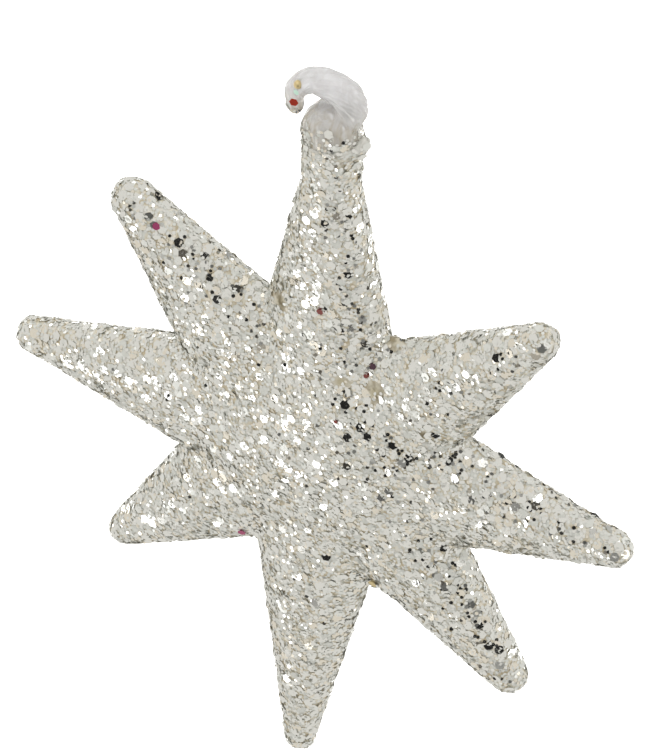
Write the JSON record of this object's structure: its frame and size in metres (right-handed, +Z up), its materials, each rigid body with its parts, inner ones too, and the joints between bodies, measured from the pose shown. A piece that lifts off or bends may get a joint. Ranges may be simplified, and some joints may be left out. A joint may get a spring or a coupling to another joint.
{
  "type": "glittered hanging star ornament",
  "caption": "Hollow glass star ornament with round tapering rays, coated all over in silver glitter, with a clear glass hook that hangs it.",
  "frame": {"origin": "centre of the eye inside the curl of the hanging hook", "axes": "+Z up along the top ray, -Y out of the star's front face, +X to its right as seen from the front"},
  "size_m": [0.071, 0.0104, 0.0915],
  "materials": {
    "hook_glass": "clear, slightly milky lampworked glass with twisted streaks",
    "star_glass": "clear blown glass, hidden under the coats",
    "adhesive": "dried clear adhesive, slightly yellowed, glossy and lumpy",
    "glitter": "silver hexagonal glitter flakes, coarse and fine, at random tilts"
  },
  "bodies": {
    "root": {"hanging_hook": "hook_glass", "hub_glass": "star_glass", "ray_top_glass": "star_glass", "ray_upper_right_glass": "star_glass", "ray_right_glass": "star_glass", "ray_lower_right_glass": "star_glass", "ray_bottom_glass": "star_glass", "ray_lower_left_glass": "star_glass", "ray_left_glass": "star_glass", "ray_upper_left_glass": "star_glass", "hub_adhesive": "adhesive", "ray_top_adhesive": "adhesive", "ray_upper_right_adhesive": "adhesive", "ray_right_adhesive": "adhesive", "ray_lower_right_adhesive": "adhesive", "ray_bottom_adhesive": "adhesive", "ray_lower_left_adhesive": "adhesive", "ray_left_adhesive": "adhesive", "ray_upper_left_adhesive": "adhesive", "hub_glitter": "glitter", "ray_top_glitter": "glitter", "ray_upper_right_glitter": "glitter", "ray_right_glitter": "glitter", "ray_lower_right_glitter": "glitter", "ray_bottom_glitter": "glitter", "ray_lower_left_glitter": "glitter", "ray_left_glitter": "glitter", "ray_upper_left_glitter": "glitter"}
  },
  "joints": []
}
